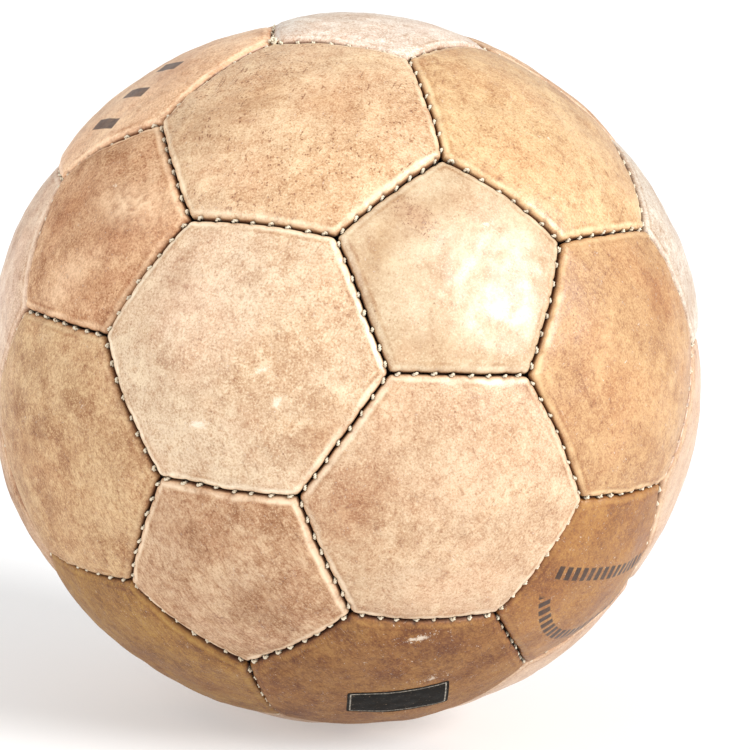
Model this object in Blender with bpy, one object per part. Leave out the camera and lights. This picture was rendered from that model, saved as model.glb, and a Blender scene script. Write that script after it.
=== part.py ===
"""Hand-stitched football: twenty hexagons and twelve pentagons of leather, laced edge to edge
round a rubber bladder with a push-in needle valve.

Metres, +Z up. The origin is the ball's centre, +Z runs through the middle of the top pentagon, and +X
points to the side where one of the five upper pentagons lies. Each kind of panel is modelled once, with
its middle on +Z, and then turned to its places round the ball.
"""
import math

import bmesh
import bpy
import numpy as np
from mathutils import Matrix

# Driving dimensions
BALL_DIAMETER = 0.220  # across the crowns of two opposite panels
CORNER_SHARE = 0.328  # where a seam corner cuts the line between two neighbouring pentagons' middles
PANEL_CROWN = 0.0009  # rise of a panel's middle above its edge, measured from the ball's centre
LEATHER = 0.0018  # leather with the canvas lining that is glued to its back
ROLL_WIDTH = 0.0030  # how far in from the seam the edge begins to roll down
ROLL_DEPTH = 0.0020  # how far the rolled edge goes down before it is upright
SEAM_FLANGE = 0.0035  # upright strip below the roll, which the stitches pass through
SEAM_GAP = 0.0004  # between the flanges of neighbouring panels
THREAD_DEPTH = 0.0002  # top of the thread below the panels' edges
THREAD_HEIGHT = 0.0009
THREAD_TOP_WIDTH = 0.0011
THREAD_FOOT_WIDTH = 0.0007  # narrower, to sit in the groove
BLADDER_WALL = 0.0006
POCKET_INSET = 0.010  # where the bladder, rounding a seam, comes up to the back of the panel
VALVE_RECESS = 0.0008  # top of the valve below the panel's crown
BOSS_RADIUS = 0.0060  # the round of rubber that shows in the panel's hole
VALVE_FLANGE_RADIUS = 0.0150
VALVE_FLANGE_THICKNESS = 0.0011
NIPPLE_RADIUS = 0.0042
NIPPLE_LENGTH = 0.0070  # below the valve's flange, inside the bladder
PATCH_RADIUS = 0.0130
PATCH_THICKNESS = 0.0005
CORE_HEAD_RADIUS = 0.0036
CORE_HEAD_THICKNESS = 0.0010
CORE_STEM_RADIUS = 0.0025
CORE_TIP_LENGTH = 0.0020  # stem below the nipple's end, tapering
CORE_TIP_RADIUS = 0.0014
NEEDLE_RADIUS = 0.0008
NEEDLE_DEPTH = 0.0090
SMALL_CHAMFER = 0.0003
CLEARANCE = 0.0003  # between pieces that touch

# Fineness of the faceted shapes
SIDE_STEPS = 3  # straight steps along one seam
SPOKE_STEPS = 2  # straight steps along half a seam
ROLL_ANGLES = (90, 45, 0)  # degrees round the rolled edge, from the panel's face to the flange
MIDDLE_SHARE = 0.5  # the ring between a panel's middle and its edge
ROUND_SIDES = 18

# Worked out from the driving dimensions
CROWN_RADIUS = BALL_DIAMETER / 2
EDGE_RADIUS = CROWN_RADIUS - PANEL_CROWN
FLANGE_END_RADIUS = EDGE_RADIUS - ROLL_DEPTH - SEAM_FLANGE
FLANGE_BACK = SEAM_GAP / 2 + LEATHER
NEIGHBOUR_ANGLE = math.atan(2)  # between two neighbouring pentagons, seen from the ball's centre
FACE_ANGLE = math.acos(math.sqrt((5 + 2 * math.sqrt(5)) / 15))  # hexagon's middle to a pentagon's
UP = np.array([0.0, 0.0, 1.0])
WELD = 1e-7


def unit(vector):
    return vector / np.linalg.norm(vector)


def direction(polar, azimuth_degrees):
    """Unit vector at an angle from +Z, in radians, and an azimuth from +X, in degrees."""
    azimuth = math.radians(azimuth_degrees)
    flat = math.sin(polar)
    return np.array([flat * math.cos(azimuth), flat * math.sin(azimuth), math.cos(polar)])


def mix(start, end, share):
    return start * (1 - share) + end * share


def radial_plane(first, second, inside):
    """Unit normal, on the inside's side, of the plane through the ball's centre and two directions."""
    normal = unit(np.cross(first, second))
    return normal if normal @ inside > 0 else -normal


def point_at(first, second, first_offset, second_offset, radius, near):
    """The point at a radius that stands at an offset from each of two radial planes."""
    normals = np.array([first, second])
    foot = normals.T @ np.linalg.solve(normals @ normals.T, [first_offset, second_offset])
    along = unit(np.cross(first, second))
    if along @ near < 0:
        along = -along
    return foot + along * math.sqrt(radius**2 - foot @ foot)


def moved_onto(point, normal, offset, radius):
    """The point slid onto the plane at an offset from a radial plane, at a radius."""
    flat = point - (point @ normal) * normal
    return unit(flat) * math.sqrt(radius**2 - offset**2) + offset * normal


def along_side(start, end, normal, offset, radius, steps):
    """Points from start to just before end, along a plane at an offset from a radial plane."""
    shares = [step / steps for step in range(steps)]
    return [moved_onto(mix(start, end, share), normal, offset, radius) for share in shares]


class Outline:
    """A panel's seam corners, and the radial planes that its seams lie in."""

    def __init__(self, corners):
        self.corners = corners
        count = len(corners)
        self.planes = [radial_plane(corners[k], corners[(k + 1) % count], UP) for k in range(count)]

    def corner(self, k, inset, radius):
        count = len(self.corners)
        before, after = self.planes[(k - 1) % count], self.planes[k % count]
        return point_at(before, after, inset, inset, radius, self.corners[k % count])

    def ring(self, inset, radius):
        """Points round the panel, at an inset from its seams and a radius from the ball's centre."""
        points = []
        for k, plane in enumerate(self.planes):
            start = self.corner(k, inset, radius)
            end = self.corner(k + 1, inset, radius)
            points += along_side(start, end, plane, inset, radius, SIDE_STEPS)
        return points

    def round_ring(self, distance, radius):
        """As many points as ring gives, on a circle at a distance from the panel's axis."""
        count = len(self.corners) * SIDE_STEPS
        first = math.degrees(math.atan2(self.corners[0][1], self.corners[0][0]))
        polar = math.asin(distance / radius)
        return [direction(polar, first + 360 * i / count) * radius for i in range(count)]


def pentagon_outline():
    corners = [unit(mix(UP, direction(NEIGHBOUR_ANGLE, 72 * k), CORNER_SHARE)) for k in range(5)]
    return Outline(corners)


def hexagon_outline():
    """The three pentagons that it touches lie at azimuths 0, 120 and 240 degrees."""
    middles = [direction(FACE_ANGLE, 120 * k) for k in range(3)]
    corners = []
    for k in range(3):
        here, after = middles[k], middles[(k + 1) % 3]
        corners += [unit(mix(here, after, CORNER_SHARE)), unit(mix(here, after, 1 - CORNER_SHARE))]
    return Outline(corners)


def add_ring(bm, points):
    return [bm.verts.new(point) for point in points]


def bridge(bm, first, second):
    """Four-sided faces between two rings with the same number of points."""
    count = len(first)
    for i in range(count):
        after = (i + 1) % count
        bm.faces.new((first[i], first[after], second[after], second[i]))


def close_over(bm, ring, point):
    """A fan of faces from a ring to one point."""
    pole = bm.verts.new(point)
    for i, vertex in enumerate(ring):
        bm.faces.new((vertex, ring[(i + 1) % len(ring)], pole))


def finished_mesh(bm, name, material):
    bmesh.ops.remove_doubles(bm, verts=bm.verts, dist=WELD)
    bmesh.ops.recalc_face_normals(bm, faces=bm.faces)
    mesh = bpy.data.meshes.new(name)
    bm.to_mesh(mesh)
    bm.free()
    mesh.materials.append(material)
    mesh.shade_smooth()
    mesh.set_sharp_from_angle(angle=math.radians(35))
    return mesh


def crown_radius(share):
    """Radius of a panel's face at a share of the way from its middle to its edge."""
    return EDGE_RADIUS + PANEL_CROWN * (1 - share**2)


def middle_ring(edge_ring, radius):
    return [unit(mix(UP, unit(point), MIDDLE_SHARE)) * radius for point in edge_ring]


def panel_rings(outline):
    """Rings of a panel's closed shell, from the face's middle, over the edge, to the back's middle."""
    rolled = []
    for angle in ROLL_ANGLES:
        turn = math.radians(angle)
        inset = SEAM_GAP / 2 + ROLL_WIDTH * (1 - math.cos(turn))
        rolled.append(outline.ring(inset, EDGE_RADIUS - ROLL_DEPTH * (1 - math.sin(turn))))
    middle_radius = crown_radius(MIDDLE_SHARE)
    return [
        middle_ring(rolled[0], middle_radius),
        *rolled,
        outline.ring(SEAM_GAP / 2, FLANGE_END_RADIUS),
        outline.ring(FLANGE_BACK, FLANGE_END_RADIUS),
        outline.ring(FLANGE_BACK, EDGE_RADIUS - LEATHER),
        middle_ring(rolled[0], middle_radius - LEATHER),
    ]


def panel_mesh(name, outline, material, hole_radius=None):
    """A panel as one shell of leather: a crowned face, a rolled edge and a seam flange turned in."""
    bm = bmesh.new()
    rings = [add_ring(bm, points) for points in panel_rings(outline)]
    for ring, following in zip(rings, rings[1:]):
        bridge(bm, ring, following)
    if hole_radius is None:
        close_over(bm, rings[0], UP * CROWN_RADIUS)
        close_over(bm, rings[-1], UP * (CROWN_RADIUS - LEATHER))
    else:
        rim = add_ring(bm, outline.round_ring(hole_radius, CROWN_RADIUS))
        back_rim = add_ring(bm, outline.round_ring(hole_radius, CROWN_RADIUS - LEATHER))
        bridge(bm, rim, rings[0])
        bridge(bm, rings[-1], back_rim)
        bridge(bm, back_rim, rim)
    return finished_mesh(bm, name, material)


def thread_strip(bm, tops, feet):
    """A four-sided length of thread between two chains of points on each of its levels."""
    left_top, right_top = (add_ring(bm, chain) for chain in tops)
    left_foot, right_foot = (add_ring(bm, chain) for chain in feet)
    pairs = ((left_top, right_top), (right_top, right_foot), (right_foot, left_foot), (left_foot, left_top))
    for first, second in pairs:
        for i in range(len(first) - 1):
            bm.faces.new((first[i], first[i + 1], second[i + 1], second[i]))
    return left_top[-1], right_top[-1], right_foot[-1], left_foot[-1]


def thread_mesh(material):
    """The thread of the five seams round a pentagon, with half of each seam that leads away from it."""
    outline = pentagon_outline()
    bm = bmesh.new()
    levels = (
        (THREAD_TOP_WIDTH / 2, EDGE_RADIUS - THREAD_DEPTH),
        (THREAD_FOOT_WIDTH / 2, EDGE_RADIUS - THREAD_DEPTH - THREAD_HEIGHT),
    )
    spoke_planes = [unit(np.cross(UP, corner)) for corner in outline.corners]

    def inner(k, half, radius):
        return outline.corner(k, half, radius)

    def outer(k, side, half, radius):
        """Beside corner k, on the side of the seam before it (-1) or after it (1)."""
        plane = outline.planes[k % 5] if side > 0 else outline.planes[(k - 1) % 5]
        spoke = spoke_planes[k % 5]
        return point_at(plane, spoke, -half, side * half, radius, outline.corners[k % 5])

    for k, plane in enumerate(outline.planes):
        chains = []
        for half, radius in levels:
            inside = along_side(
                inner(k, half, radius), inner(k + 1, half, radius), plane, half, radius, SIDE_STEPS
            )
            outside = along_side(
                outer(k, 1, half, radius), outer(k + 1, -1, half, radius), plane, -half, radius, SIDE_STEPS
            )
            inside.append(inner(k + 1, half, radius))
            outside.append(outer(k + 1, -1, half, radius))
            chains.append((inside, outside))
        thread_strip(bm, *chains)

    for k, spoke in enumerate(spoke_planes):
        away = direction(NEIGHBOUR_ANGLE, 72 * k)
        halfway = unit(away - UP)
        chains = []
        for half, radius in levels:
            sides = []
            for side in (-1, 1):
                start = outer(k, side, half, radius)
                end = point_at(halfway, spoke, -CLEARANCE / 2, side * half, radius, unit(away + UP))
                chain = along_side(start, end, spoke, side * half, radius, SPOKE_STEPS)
                sides.append([*chain, end])
            chains.append(sides)
        end_corners = thread_strip(bm, *chains)
        bm.faces.new(end_corners)
        for half, radius in levels:
            corner = (inner(k, half, radius), outer(k, -1, half, radius), outer(k, 1, half, radius))
            bm.faces.new(add_ring(bm, corner))
    return finished_mesh(bm, "seam_thread", material)


def facet_height(distance):
    """Height above the ball's centre of a hexagon's flat-faceted back, at a distance from its axis."""
    edge = hexagon_outline().ring(FLANGE_BACK, EDGE_RADIUS - LEATHER)
    middle = middle_ring(edge, crown_radius(MIDDLE_SHARE) - LEATHER)
    low_turn = math.cos(math.pi / len(edge))
    profile = [(0.0, CROWN_RADIUS - LEATHER)]
    for ring in (middle, edge):
        nearest = min(ring, key=lambda point: math.hypot(point[0], point[1]))
        profile.append((math.hypot(nearest[0], nearest[1]) * low_turn, nearest[2]))
    return float(np.interp(distance, *zip(*profile)))


# Heights of the valve's pieces above the ball's centre, along the valve's axis
VALVE_TOP = CROWN_RADIUS - VALVE_RECESS
PATCH_TOP = facet_height(PATCH_RADIUS) - CLEARANCE
FLANGE_TOP = min(PATCH_TOP - PATCH_THICKNESS, facet_height(VALVE_FLANGE_RADIUS)) - CLEARANCE
FLANGE_FOOT = FLANGE_TOP - VALVE_FLANGE_THICKNESS
NIPPLE_END = FLANGE_FOOT - NIPPLE_LENGTH
BLADDER_SEAT = FLANGE_FOOT - CLEARANCE
# The rims of round holes are faceted, so their radius allows for the flats
HOLE_FLATS = math.cos(math.pi / ROUND_SIDES)
PANEL_HOLE_RADIUS = (BOSS_RADIUS + CLEARANCE) / HOLE_FLATS
BLADDER_HOLE_RADIUS = (NIPPLE_RADIUS + 2 * CLEARANCE) / HOLE_FLATS


def bladder_rings(outline, valve):
    """The bladder's rings behind one panel, from the middle out to the seam."""
    shoulder_radius = EDGE_RADIUS - LEATHER - 2 * CLEARANCE
    # Straight from the seam to the shoulder, it has to pass under the flange's back corner
    corner_share = (FLANGE_BACK + CLEARANCE) / POCKET_INSET
    corner_radius = FLANGE_END_RADIUS - CLEARANCE
    seam_radius = (corner_radius - shoulder_radius * corner_share) / (1 - corner_share)
    rings = [outline.ring(POCKET_INSET, shoulder_radius), outline.ring(0.0, seam_radius)]
    if not valve:
        return rings
    seats = []
    for distance in (BLADDER_HOLE_RADIUS, VALVE_FLANGE_RADIUS + 2 * CLEARANCE):
        seats.append(outline.round_ring(distance, math.hypot(distance, BLADDER_SEAT)))
    return [*seats, *rings]


def bladder_mesh(plan, material):
    """Rubber shell that bulges into every panel and draws in under every seam."""
    bm = bmesh.new()
    pole_radius = CROWN_RADIUS - LEATHER - CLEARANCE
    for panel in plan:
        turned = frame_of(panel)
        valve = panel["name"] == "panel_hex_valve"
        hole_rings = []
        for depth in (0.0, BLADDER_WALL):
            rings = []
            for points in bladder_rings(panel["outline"], valve):
                rings.append(add_ring(bm, [turned @ (p - unit(p) * depth) for p in points]))
            for ring, following in zip(rings, rings[1:]):
                bridge(bm, ring, following)
            if valve:
                hole_rings.append(rings[0])
            else:
                close_over(bm, rings[0], turned @ (UP * (pole_radius - depth)))
        if valve:
            bridge(bm, *hole_rings)
    return finished_mesh(bm, "bladder", material)


def turned_mesh(name, profile, material, ring_shaped):
    """A round piece: its profile of (radius, height) points spun about Z."""
    bm = bmesh.new()
    points = [bm.verts.new((radius, 0.0, height)) for radius, height in profile]
    ends = zip(points, [*points[1:], points[0]] if ring_shaped else points[1:])
    edges = [bm.edges.new(pair) for pair in ends]
    bmesh.ops.spin(
        bm,
        geom=[*points, *edges],
        cent=(0.0, 0.0, 0.0),
        axis=(0.0, 0.0, 1.0),
        angle=2 * math.pi,
        steps=ROUND_SIDES,
        use_merge=True,
    )
    return finished_mesh(bm, name, material)


def valve_housing_mesh(material):
    recess_radius = CORE_HEAD_RADIUS + CLEARANCE
    recess_floor = VALVE_TOP - CORE_HEAD_THICKNESS - CLEARANCE
    bore_radius = CORE_STEM_RADIUS + CLEARANCE
    profile = [
        (recess_radius, VALVE_TOP),
        (BOSS_RADIUS - SMALL_CHAMFER, VALVE_TOP),
        (BOSS_RADIUS, VALVE_TOP - SMALL_CHAMFER),
        (BOSS_RADIUS, FLANGE_TOP),
        (VALVE_FLANGE_RADIUS, FLANGE_TOP),
        (VALVE_FLANGE_RADIUS, FLANGE_FOOT),
        (NIPPLE_RADIUS, FLANGE_FOOT),
        (NIPPLE_RADIUS, NIPPLE_END),
        (bore_radius, NIPPLE_END),
        (bore_radius, recess_floor),
        (recess_radius, recess_floor),
    ]
    return turned_mesh("valve_housing", profile, material, ring_shaped=True)


def valve_core_mesh(material):
    head_foot = VALVE_TOP - CORE_HEAD_THICKNESS
    profile = [
        (0.0, VALVE_TOP - NEEDLE_DEPTH),
        (NEEDLE_RADIUS, VALVE_TOP - NEEDLE_DEPTH),
        (NEEDLE_RADIUS, VALVE_TOP),
        (CORE_HEAD_RADIUS - SMALL_CHAMFER, VALVE_TOP),
        (CORE_HEAD_RADIUS, VALVE_TOP - SMALL_CHAMFER),
        (CORE_HEAD_RADIUS, head_foot),
        (CORE_STEM_RADIUS, head_foot),
        (CORE_STEM_RADIUS, NIPPLE_END),
        (CORE_TIP_RADIUS, NIPPLE_END - CORE_TIP_LENGTH),
        (0.0, NIPPLE_END - CORE_TIP_LENGTH),
    ]
    return turned_mesh("valve_core", profile, material, ring_shaped=False)


def valve_patch_mesh(material):
    inner_radius = BOSS_RADIUS + CLEARANCE
    profile = [
        (inner_radius, PATCH_TOP),
        (PATCH_RADIUS, PATCH_TOP),
        (PATCH_RADIUS, PATCH_TOP - PATCH_THICKNESS),
        (inner_radius, PATCH_TOP - PATCH_THICKNESS),
    ]
    return turned_mesh("valve_patch", profile, material, ring_shaped=True)


def frame_of(panel):
    """Matrix that turns a panel's own axes to its place: +Z to its middle, +X to a neighbour."""
    up = panel["middle"]
    ahead = unit(panel["towards"] - (panel["towards"] @ up) * up)
    return np.column_stack([ahead, np.cross(up, ahead), up])


def ball_plan():
    """Name, outline, middle and neighbour of each of the 32 panels, from the top down."""
    pentagon, hexagon = pentagon_outline(), hexagon_outline()
    top, bottom = UP, -UP
    upper = [direction(NEIGHBOUR_ANGLE, 72 * k) for k in range(5)]
    lower = [direction(math.pi - NEIGHBOUR_ANGLE, 72 * k + 36) for k in range(5)]
    plan = []

    def add(name, outline, middle, towards):
        plan.append({"name": name, "outline": outline, "middle": unit(middle), "towards": towards})

    add("panel_pent_top", pentagon, top, upper[0])
    for k in range(5):
        add(f"panel_pent_upper_{k + 1}", pentagon, upper[k], top)
    for k in range(5):
        add(f"panel_pent_lower_{k + 1}", pentagon, lower[k], bottom)
    add("panel_pent_bottom", pentagon, bottom, lower[0])
    for k in range(5):
        after = (k + 1) % 5
        name = "panel_hex_valve" if k == 1 else f"panel_hex_top_{k + 1}"
        add(name, hexagon, top + upper[k] + upper[after], top)
        add(f"panel_hex_upper_{k + 1}", hexagon, lower[k] + upper[k] + upper[after], lower[k])
        add(f"panel_hex_lower_{k + 1}", hexagon, upper[after] + lower[k] + lower[after], upper[after])
        add(f"panel_hex_bottom_{k + 1}", hexagon, bottom + lower[k] + lower[after], bottom)
    return plan


def plain_material(name, colour, roughness):
    material = bpy.data.materials.new(name)
    material.use_nodes = True
    shader = material.node_tree.nodes["Principled BSDF"]
    shader.inputs["Base Color"].default_value = (*colour, 1.0)
    shader.inputs["Roughness"].default_value = roughness
    shader.inputs["Metallic"].default_value = 0.0
    material.diffuse_color = (*colour, 1.0)
    return material


def place(name, mesh, parent, turned=None):
    piece = bpy.data.objects.new(name, mesh)
    bpy.context.scene.collection.objects.link(piece)
    piece.parent = parent
    if turned is not None:
        piece.rotation_mode = "QUATERNION"
        piece.rotation_quaternion = Matrix(turned.tolist()).to_quaternion()
    return piece


def build_cover(plan, centre, leather, waxed_thread):
    pentagon = panel_mesh("pentagon_panel", pentagon_outline(), leather)
    hexagon = panel_mesh("hexagon_panel", hexagon_outline(), leather)
    with_hole = panel_mesh("valve_panel", hexagon_outline(), leather, PANEL_HOLE_RADIUS)
    thread = thread_mesh(waxed_thread)
    for panel in plan:
        name, turned = panel["name"], frame_of(panel)
        if "pent" in name:
            place(name, pentagon, centre, turned)
            place(name.replace("panel_pent", "seam_thread"), thread, centre, turned)
        elif name == "panel_hex_valve":
            place(name, with_hole, centre, turned)
        else:
            place(name, hexagon, centre, turned)


def build_inside(plan, centre, rubber, canvas):
    place("bladder", bladder_mesh(plan, rubber), centre)
    valve_panel = next(panel for panel in plan if panel["name"] == "panel_hex_valve")
    valve_axis = place("valve_axis", None, centre, frame_of(valve_panel))
    place("valve_patch", valve_patch_mesh(canvas), valve_axis)
    place("valve_housing", valve_housing_mesh(rubber), valve_axis)
    place("valve_core", valve_core_mesh(rubber), valve_axis)


def build_ball():
    for old in list(bpy.data.objects):
        bpy.data.objects.remove(old, do_unlink=True)
    centre = place("ball_centre", None, None)
    leather = plain_material("leather", (0.66, 0.43, 0.26), 0.55)
    waxed_thread = plain_material("waxed_thread", (0.85, 0.80, 0.68), 0.6)
    rubber = plain_material("rubber", (0.10, 0.08, 0.07), 0.7)
    canvas = plain_material("canvas", (0.62, 0.57, 0.47), 0.9)
    plan = ball_plan()
    build_cover(plan, centre, leather, waxed_thread)
    build_inside(plan, centre, rubber, canvas)
    bpy.context.view_layer.update()


build_ball()
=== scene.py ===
"""Looks of the hand-stitched leather football: pillowed panels, laced seams, worn leather.

Metres, +Z up, in the CAD model's own axes. The ball's centre is the origin, and +Z runs through the
middle of the top pentagon. Every panel and every thread is made in place, in those axes.
"""
import math

import bpy
import numpy as np
from mathutils import Matrix, Vector


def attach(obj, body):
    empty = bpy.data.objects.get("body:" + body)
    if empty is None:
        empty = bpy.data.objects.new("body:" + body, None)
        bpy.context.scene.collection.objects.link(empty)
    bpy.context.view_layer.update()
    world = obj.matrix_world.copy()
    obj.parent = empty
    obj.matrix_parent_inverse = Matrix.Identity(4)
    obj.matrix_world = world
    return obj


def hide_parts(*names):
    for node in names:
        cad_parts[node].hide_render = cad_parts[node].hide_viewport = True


# The ball, as in the CAD model
BALL_RADIUS = 0.110
PANEL_CROWN = 0.0009
EDGE_RADIUS = BALL_RADIUS - PANEL_CROWN
FLANGE_FOOT_RADIUS = 0.1036
LEATHER = 0.0018
CORNER_SHARE = 0.328
NEIGHBOUR_ANGLE = math.atan(2)
UP = np.array([0.0, 0.0, 1.0])

# Panels
SLOT_HALF = 0.00021  # half the open slot between two panels
ROLL_WIDTH = 0.0009  # the edge rolls over within this distance of the slot
ROLL_DEPTH = 0.0017
ROLL_ANGLES = (0, 10, 20, 30, 41, 52, 64, 77, 90)
WELT_ROWS = (0.0013, 0.0017, 0.0021, 0.0025, 0.0029, 0.0033, 0.0038, 0.0044)
WELT_WIDTH = 0.0027  # a flat strip along the edge, folded down a little
WELT_DEPTH = 0.00055
EDGE_SINK = 0.00032  # how far a panel's edge is pulled in, fading over SINK_REACH
SINK_REACH = 0.006
INNER_CELLS = 32  # cells from the rolled edge to the panel's middle
ROUNDING = 7.0  # power of the curve that rounds a panel's corners
FLANGE_ROW = 8  # the row of the roll that the flange's back stands under
BACK_DEPTH = 0.0028  # of the leather's back below the panels' edges, beside the flange
HOLE_CELLS = 6  # cells round the valve panel's middle that make way for the hole
HOLE_RADIUS = 0.0064
HOLE_EASE_ROWS = 9  # rows outside the hole that are eased towards its circle

# The valve
VALVE_TOP = 0.1092
VALVE_FLANGE_RADIUS = 0.0150
TURNED_SIDES = 72

# Stitches
STITCHES_PER_SEAM = 8
PATH_STEPS = 3  # points on a smooth path from each given point to the next
TUBE_SIDES = 8
PLY_RADIUS = 0.00030
PLY_OFFSET = 0.00021  # of each of the two plies from the thread's middle
TWIST_LENGTH = 0.0015
STITCH_REACH = 0.00027  # across the slot, from its middle to where the thread goes into the leather
STITCH_DEPTH = 0.00105  # of a stitch's middle below the panels' edges
STITCH_SLANT = 0.00056  # along the seam, at each end of a stitch

# What the stitches do to the leather: depths, and how far each effect reaches
PULL_LENGTH = 0.0008  # along the seam
PULL_DEPTH = 0.00028
PULL_REACH = 0.0013
WIDE_PULL_DEPTH = 0.00005
WIDE_PULL_REACH = 0.0035
PIT_SIZE = (0.00060, 0.00055)  # along and across the seam
PIT_DEPTH = 0.00030
OPENING = 0.00016  # the slot opens by this much at a stitch
OPENING_REACH = 0.0008
WANDER_REACH = 0.005

# The blank label, in millimetres on its panel
LABEL_SIZE = (31.0, 17.0)
LABEL_PLACE = (2.2, -3.0)
LABEL_TURN = 1.0
LABEL_CELLS = (49, 35)
LABEL_ROUNDING = 24  # power of the curve that rounds its corners
LABEL_THICKNESS = 0.00012

STRIP = SLOT_HALF + np.array([*ROLL_WIDTH * (1 - np.cos(np.radians(ROLL_ANGLES))), *WELT_ROWS])
STRIP_CELLS = len(STRIP) - 1
GRID = STRIP_CELLS + INNER_CELLS


def unit(vectors):
    return vectors / np.linalg.norm(vectors, axis=-1, keepdims=True)


def direction(polar, azimuth_degrees):
    """Unit vector at an angle from +Z, in radians, and an azimuth from +X, in degrees."""
    azimuth = math.radians(azimuth_degrees)
    flat = math.sin(polar)
    return np.array([flat * math.cos(azimuth), flat * math.sin(azimuth), math.cos(polar)])


def mix(start, end, share):
    return start * (1 - share) + end * share


def meet(first, second, first_offset, second_offset, near):
    """Unit vectors that stand at an offset, in metres on the ball, from each of two radial planes."""
    normals = np.array([first, second])
    offsets = np.stack([first_offset, second_offset], axis=-1) / BALL_RADIUS
    foot = offsets @ np.linalg.inv(normals @ normals.T) @ normals
    along = unit(np.cross(first, second))
    along = along * np.sign(along @ near)
    height = np.sqrt(1 - (foot**2).sum(axis=-1, keepdims=True))
    return foot + height * along


def slide(vectors, normal, offset):
    """Unit vectors slid to an offset, in metres on the ball, from a radial plane."""
    height = (offset / BALL_RADIUS)[..., None]
    flat = vectors - (vectors @ normal)[..., None] * normal
    return unit(flat) * np.sqrt(1 - height**2) + height * normal


class Waves:
    """A smooth bumpy field about one unit high: cosines in random directions, added up."""

    COUNT = 30

    def __init__(self, size, seed):
        rng = np.random.default_rng(seed)
        lengths = rng.uniform(0.7, 1.6, (self.COUNT, 1)) * size
        self.waves = unit(rng.normal(size=(self.COUNT, 3))) * 2 * math.pi / lengths
        self.phases = rng.uniform(0, 2 * math.pi, self.COUNT)
        self.scale = math.sqrt(2 / self.COUNT)

    def at(self, points):
        return np.cos(points @ self.waves.T + self.phases).sum(axis=-1) * self.scale


WELT_WAVES = Waves(0.009, 4)
LUMPS = ((0.00030, Waves(0.045, 1)), (0.00010, Waves(0.016, 2)), (0.00004, Waves(0.006, 3)))


class Seam:
    """One of the 90 seams. Its first panel is the one that it was found from."""

    def __init__(self, number, start, end, inward):
        rng = np.random.default_rng(1000 + number)
        self.middle = unit(start + end)
        self.along = unit(end - start)
        self.inward = inward
        self.length = BALL_RADIUS * math.acos(start @ end)
        pitch = self.length / STITCHES_PER_SEAM
        places = (np.arange(STITCHES_PER_SEAM) + 0.5) * pitch - self.length / 2
        self.stitches = places + rng.normal(0, 0.0003, STITCHES_PER_SEAM)
        lean = rng.choice((-1.0, 1.0))
        self.slants = lean * STITCH_SLANT * rng.uniform(0.6, 1.3, STITCHES_PER_SEAM)
        self.bias = rng.normal(0, 0.00016, STITCHES_PER_SEAM) + rng.choice((-1, 1)) * 0.00022
        self.heights = rng.normal(0, 0.00012, STITCHES_PER_SEAM)
        self.wave_sizes = rng.uniform(-1, 1, 3) * (0.00030, 0.00020, 0.00012)
        self.wave_phases = rng.uniform(0, 2 * math.pi, 3)

    def coordinates(self, directions):
        """Distances along the seam from its middle, and across it towards its first panel."""
        along = np.arctan2(directions @ self.along, directions @ self.middle)
        across = np.arcsin(np.clip(directions @ self.inward, -1, 1))
        return along * BALL_RADIUS, across * BALL_RADIUS

    def point(self, along, across, depth):
        """The point at a distance along and across the seam, and a depth below the panels' edges."""
        turn = along / BALL_RADIUS
        base = self.middle * math.cos(turn) + self.along * math.sin(turn)
        lean = across / BALL_RADIUS
        return (base * math.cos(lean) + self.inward * math.sin(lean)) * (EDGE_RADIUS - depth)

    def wander(self, along):
        """How far the slot strays sideways, nothing at its ends."""
        share = along / self.length
        strayed = sum(
            size * np.cos(2 * math.pi * (k + 1) * 1.3 * share + phase)
            for k, (size, phase) in enumerate(zip(self.wave_sizes, self.wave_phases))
        )
        return strayed * np.cos(math.pi * np.clip(share, -0.5, 0.5))


class Panel:
    """A panel's corners, anticlockwise from outside, its seams, and the sides' inward normals."""

    def __init__(self, name, corners, middle, number):
        self.name = name
        self.corners = corners
        self.middle = middle
        self.number = number
        following = np.roll(corners, -1, axis=0)
        self.inward = unit(np.cross(corners, following))
        self.along = unit(following - corners)
        self.seams = []
        side_middle = unit(corners[0] + corners[1])
        self.apothem = math.acos(side_middle @ middle)
        rng = np.random.default_rng(500 + number)
        self.offset = rng.uniform(-5, 5, 3)


def turned(corners, middle, towards):
    """Corners about +Z turned so that +Z goes to the middle and +X towards a neighbour."""
    ahead = unit(towards - (towards @ middle) * middle)
    return corners @ np.array([ahead, np.cross(middle, ahead), middle])


def pentagon_corners():
    return np.array([unit(mix(UP, direction(NEIGHBOUR_ANGLE, 72 * k), CORNER_SHARE)) for k in range(5)])


def hexagon_corners():
    face_angle = math.acos(math.sqrt((5 + 2 * math.sqrt(5)) / 15))
    middles = [direction(face_angle, 120 * k) for k in range(3)]
    corners = []
    for k in range(3):
        here, after = middles[k], middles[(k + 1) % 3]
        corners += [unit(mix(here, after, CORNER_SHARE)), unit(mix(here, after, 1 - CORNER_SHARE))]
    return np.array(corners)


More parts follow.
